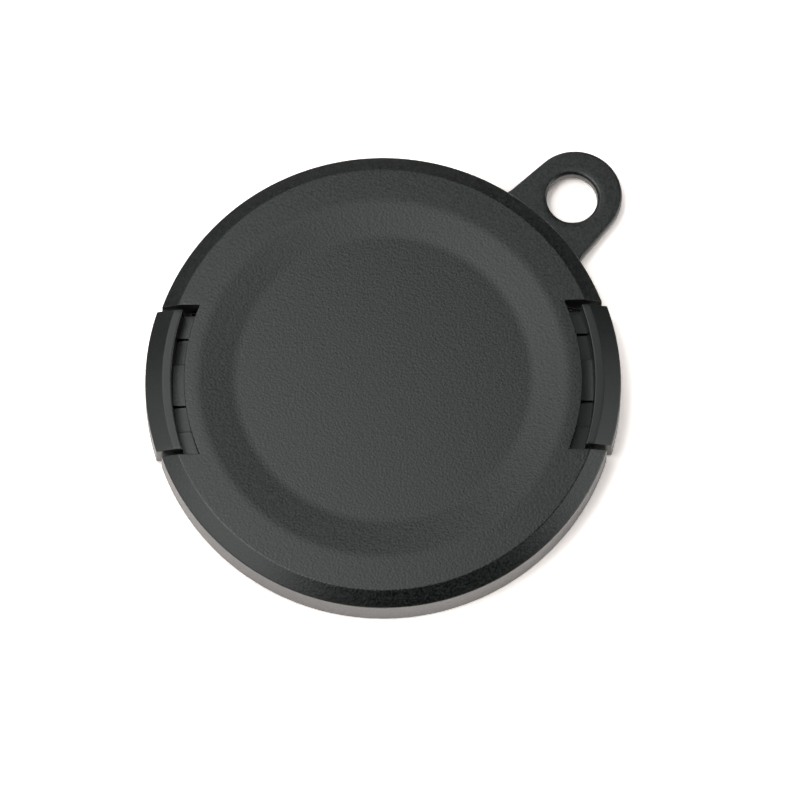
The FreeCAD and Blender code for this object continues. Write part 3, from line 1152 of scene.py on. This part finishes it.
# %% The sweep
paper_tint = (1.12, 1.0, 0.98)
paper_white = 0.75
lifted_white = 1.8
glow_reach = (0.12, 0.30)  # m from the cap's axis, where the glow begins and where it is all
sweep_z = -0.02
sweep_r = 1200
sweep_bend = 150
sweep_wall_z = 200
sweep_steps = 96
sweep_arc_steps = 12


def white_sweep():
    material, tree = new_material("white_sweep")
    tree.nodes.remove(tree.nodes["Principled BSDF"])
    paper = node_in(tree, "ShaderNodeBsdfDiffuse")
    paper.inputs["Color"].default_value = (*(paper_white * part for part in paper_tint), 1)
    lifted = node_in(tree, "ShaderNodeBsdfDiffuse")
    lifted.inputs["Color"].default_value = (*(lifted_white * part for part in paper_tint), 1)
    glow = node_in(tree, "ShaderNodeEmission")
    place = node_in(tree, "ShaderNodeTexCoord")
    reach = node_in(tree, "ShaderNodeVectorMath", operation="LENGTH")
    tree.links.new(place.outputs["Object"], reach.inputs[0])
    far = spread(tree, reach.outputs["Value"], *glow_reach, 0, 1)
    bright = node_in(tree, "ShaderNodeMixShader")
    tree.links.new(far, bright.inputs["Fac"])
    tree.links.new(lifted.outputs["BSDF"], bright.inputs[1])
    tree.links.new(glow.outputs["Emission"], bright.inputs[2])
    path = node_in(tree, "ShaderNodeLightPath")
    seen = path.outputs["Is Camera Ray"]
    for ray in ("Is Glossy Ray", "Is Transmission Ray"):
        either = node_in(tree, "ShaderNodeMath", operation="MAXIMUM")
        tree.links.new(seen, either.inputs[0])
        tree.links.new(path.outputs[ray], either.inputs[1])
        seen = either.outputs["Value"]
    mix = node_in(tree, "ShaderNodeMixShader")
    tree.links.new(seen, mix.inputs["Fac"])
    tree.links.new(paper.outputs["BSDF"], mix.inputs[1])
    tree.links.new(bright.outputs["Shader"], mix.inputs[2])
    tree.links.new(mix.outputs["Shader"], tree.nodes["Material Output"].inputs["Surface"])
    return material


sweep_corners = [(0, sweep_z, 0), (sweep_r, sweep_z, sweep_bend), (sweep_r, sweep_wall_z, 0)]
sweep = spun("sweep", rounded(sweep_corners, sweep_arc_steps), steps=sweep_steps)
merge_and_face_outwards(sweep)
sweep.data.materials.append(white_sweep())
print("Sweep faces:", len(sweep.data.polygons))

# %% [markdown]
# Black plastic shows little but reflections, so the light was worked out from them. The dish's far right side
# and the chamfer's left side shine, so there is a large softbox above at the left with a small bright part,
# and one at the front left. The near half of the chamfer is almost black, so nothing stands in front. Weaker
# lamps at both sides, over the right and behind light the clips, the dish's left side and the far chamfer,
# and a low one at the right brightens the floor. One even sky would be simpler, but it hides the dish.

# %% Lights
lamp_distance = 0.9
lamp_tint = (0.94, 1.0, 0.98)
room_grey = 0.03


def softbox(name, direction, size, radiance):
    """A lamp that looks at the cap. Its power gives the brightness that a mirror would see in it."""
    towards = Vector(direction).normalized()
    nothing_selected()
    bpy.ops.object.light_add(type="AREA", location=towards * lamp_distance)
    lamp = bpy.context.object
    lamp.name = name
    lamp.rotation_euler = towards.to_track_quat("Z", "Y").to_euler()
    lamp.data.shape = "RECTANGLE"
    lamp.data.size, lamp.data.size_y = size
    lamp.data.energy = radiance * math.pi * size[0] * size[1]
    lamp.data.color = lamp_tint


softbox("overhead", (-0.20, 0.16, 0.97), (0.47, 0.45), 2.60)
softbox("small_overhead", (-0.29, -0.02, 0.955), (0.26, 0.22), 6.90)
softbox("over_right", (0.26, 0.36, 0.90), (0.35, 0.35), 0.50)
softbox("front_left", (-0.58, -0.33, 0.74), (0.61, 0.51), 2.70)
softbox("left", (-0.80, 0.12, 0.59), (0.35, 0.40), 1.40)
softbox("right", (0.70, -0.18, 0.70), (0.36, 0.35), 1.95)
softbox("far_right", (0.78, 0.18, 0.60), (0.35, 0.40), 0.85)
softbox("low_right", (0.95, -0.10, 0.30), (0.60, 0.24), 7.50)
softbox("back", (-0.29, 0.67, 0.69), (0.78, 0.46), 1.35)
world = bpy.data.worlds.new("studio")
bpy.context.scene.world = world
world.use_nodes = True
world.node_tree.nodes["Background"].inputs["Color"].default_value = (room_grey, room_grey, room_grey, 1)
world.node_tree.nodes["Background"].inputs["Strength"].default_value = 1.0

# %% [markdown]
# The photograph was taken from the front and high up with a long lens, so the rim's ellipse is nearly round.
# The angles and the distance were fitted to that ellipse. The camera looks straight at the rim's middle, and
# the lens shift then moves the picture to its place. Turning the camera would change the perspective too.

# %% Camera
camera_elevation = math.radians(73.65)
camera_yaw = math.radians(0.79)
camera_distance = 553.8
aim = Vector((0, 0, rim_z)) * mm
level = math.cos(camera_elevation)
direction = Vector((
    -level * math.sin(camera_yaw),
    -level * math.cos(camera_yaw),
    math.sin(camera_elevation),
))
nothing_selected()
bpy.ops.object.camera_add(location=aim + direction * camera_distance * mm)
camera = bpy.context.object
camera.rotation_euler = (-direction).to_track_quat("-Z", "Y").to_euler()
camera.data.sensor_width = 36.0
camera.data.lens = 155.3
camera.data.shift_x = 0.0211
camera.data.shift_y = -0.0269
camera.data.clip_start = 0.01
bpy.context.scene.camera = camera
print("Camera at", [round(value, 4) for value in camera.location])

# %% [markdown]
# Last, the colour view is set to Standard.

# %% Finish
bpy.context.scene.view_settings.view_transform = "Standard"
